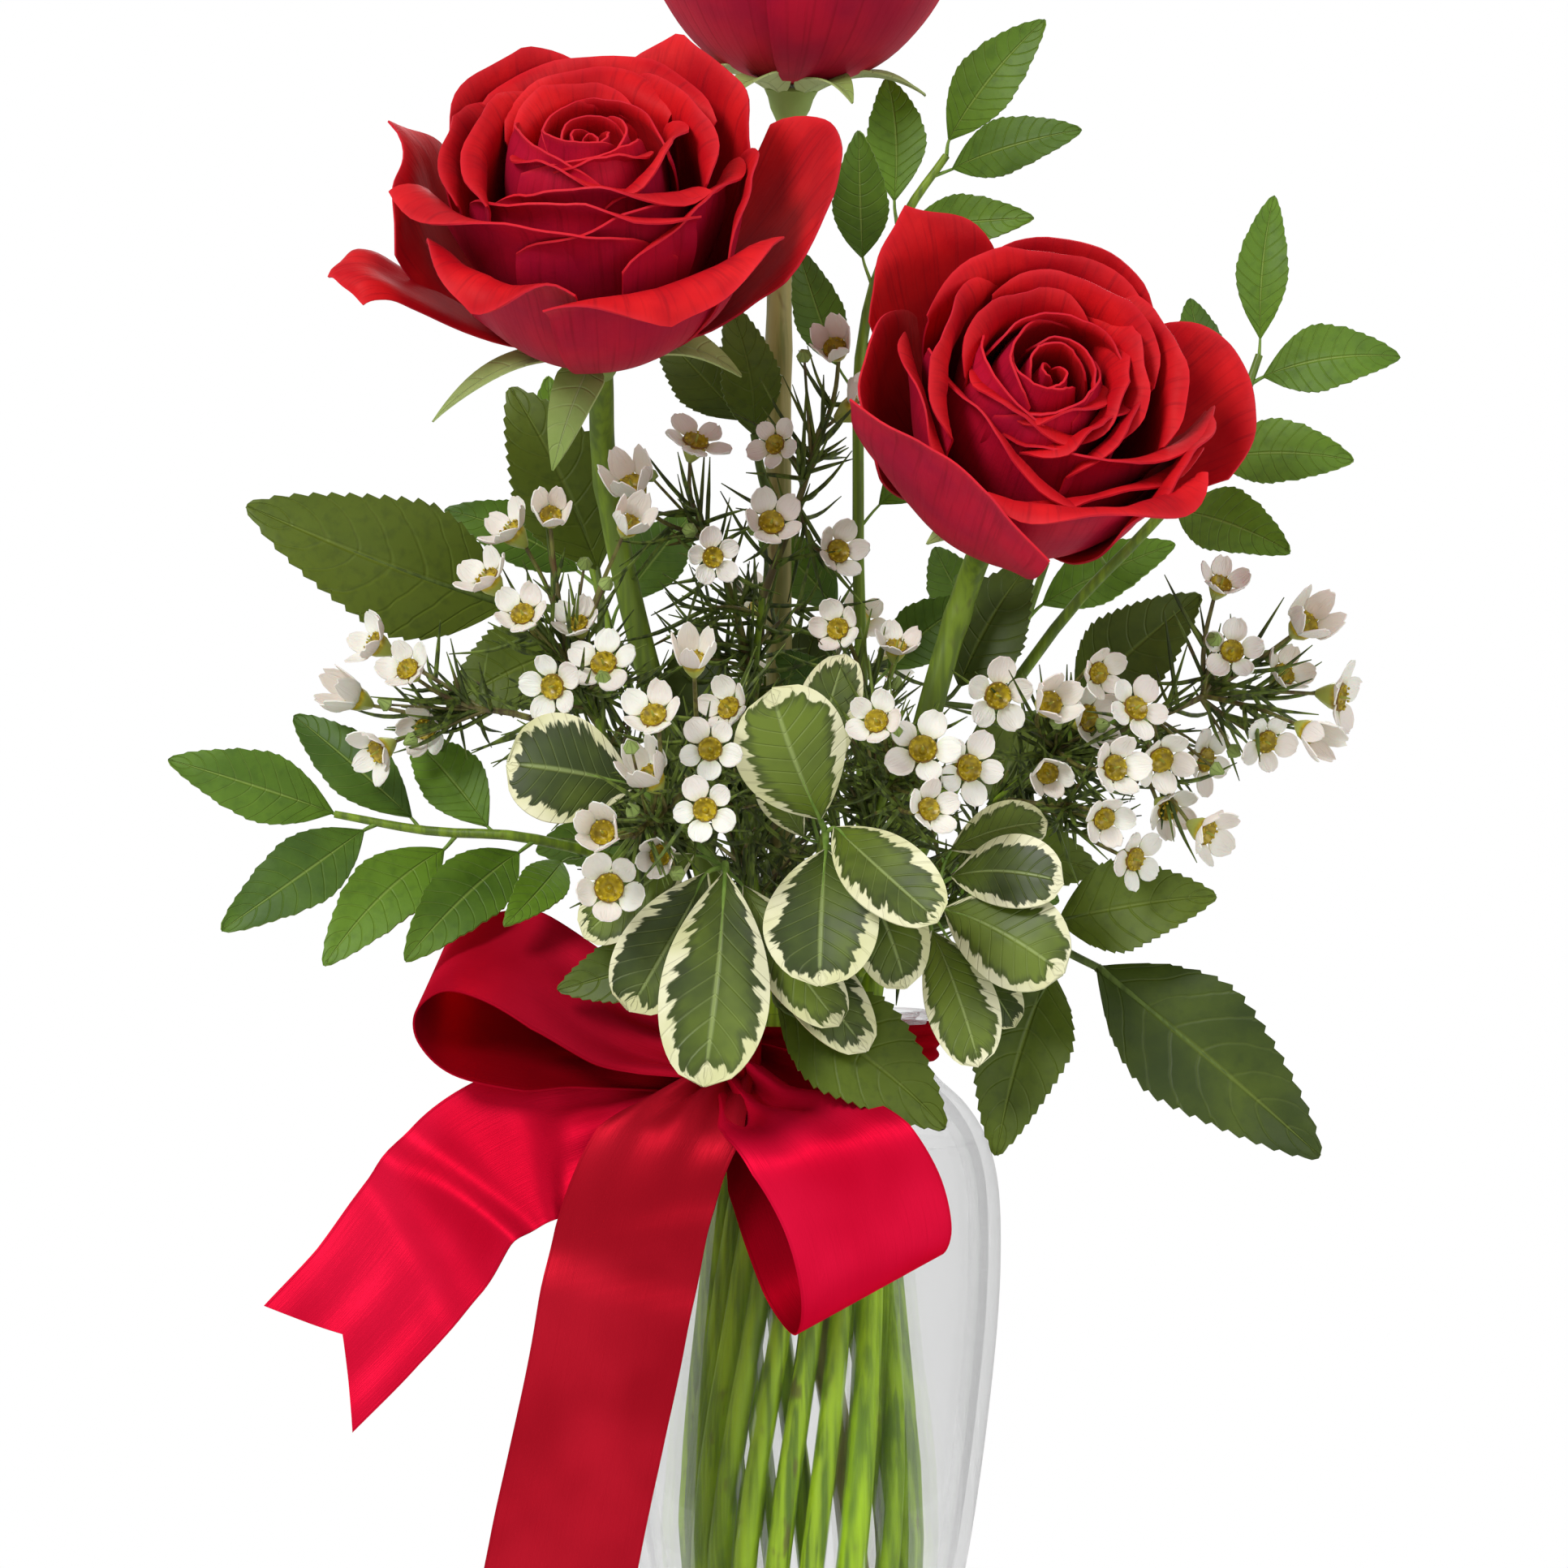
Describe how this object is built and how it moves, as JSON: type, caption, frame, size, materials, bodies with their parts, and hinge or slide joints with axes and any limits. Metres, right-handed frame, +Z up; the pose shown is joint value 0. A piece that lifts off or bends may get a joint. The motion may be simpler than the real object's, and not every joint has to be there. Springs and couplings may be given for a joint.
{
  "type": "roses in a vase",
  "caption": "Red roses with waxflower, variegated pittosporum and leafy sprays, standing in water in a clear glass vase with a satin bow at its neck.",
  "frame": {"origin": "middle of the vase's foot, on the surface it stands on", "axes": "+Z up, -Y towards the front of the bouquet, +X to the right hand side seen from the front"},
  "size_m": [0.2797, 0.1962, 0.4618],
  "materials": {
    "clear_glass": "polished clear glass",
    "water": "clear water",
    "red_satin": "satin with a soft sheen",
    "rose_petal": "velvety petal",
    "rose_green": "smooth green stem and serrated leaves",
    "green_leaf": "leathery green leaf",
    "variegated_leaf": "green leaf with a cream margin",
    "white_flower": "waxy white petals with a yellow-green cup"
  },
  "bodies": {
    "root": {"glass_vase": "clear_glass", "vase_water": "water", "satin_ribbon": "red_satin", "rose_left_stem": "rose_green", "rose_left_bloom": "rose_petal", "rose_right_stem": "rose_green", "rose_right_bloom": "rose_petal", "rose_top_stem": "rose_green", "rose_top_bloom": "rose_petal", "leafy_spray_top": "green_leaf", "leafy_spray_right": "green_leaf", "leafy_spray_left": "green_leaf", "leafy_spray_back_left": "green_leaf", "leafy_spray_back_right": "green_leaf", "salal_sprig_front": "green_leaf", "pittosporum_centre": "variegated_leaf", "pittosporum_left": "variegated_leaf", "pittosporum_right": "variegated_leaf", "waxflower_left": "white_flower", "waxflower_top": "white_flower", "waxflower_front_left": "white_flower", "waxflower_front_right": "white_flower", "waxflower_right": "white_flower", "waxflower_back": "white_flower"}
  },
  "joints": []
}
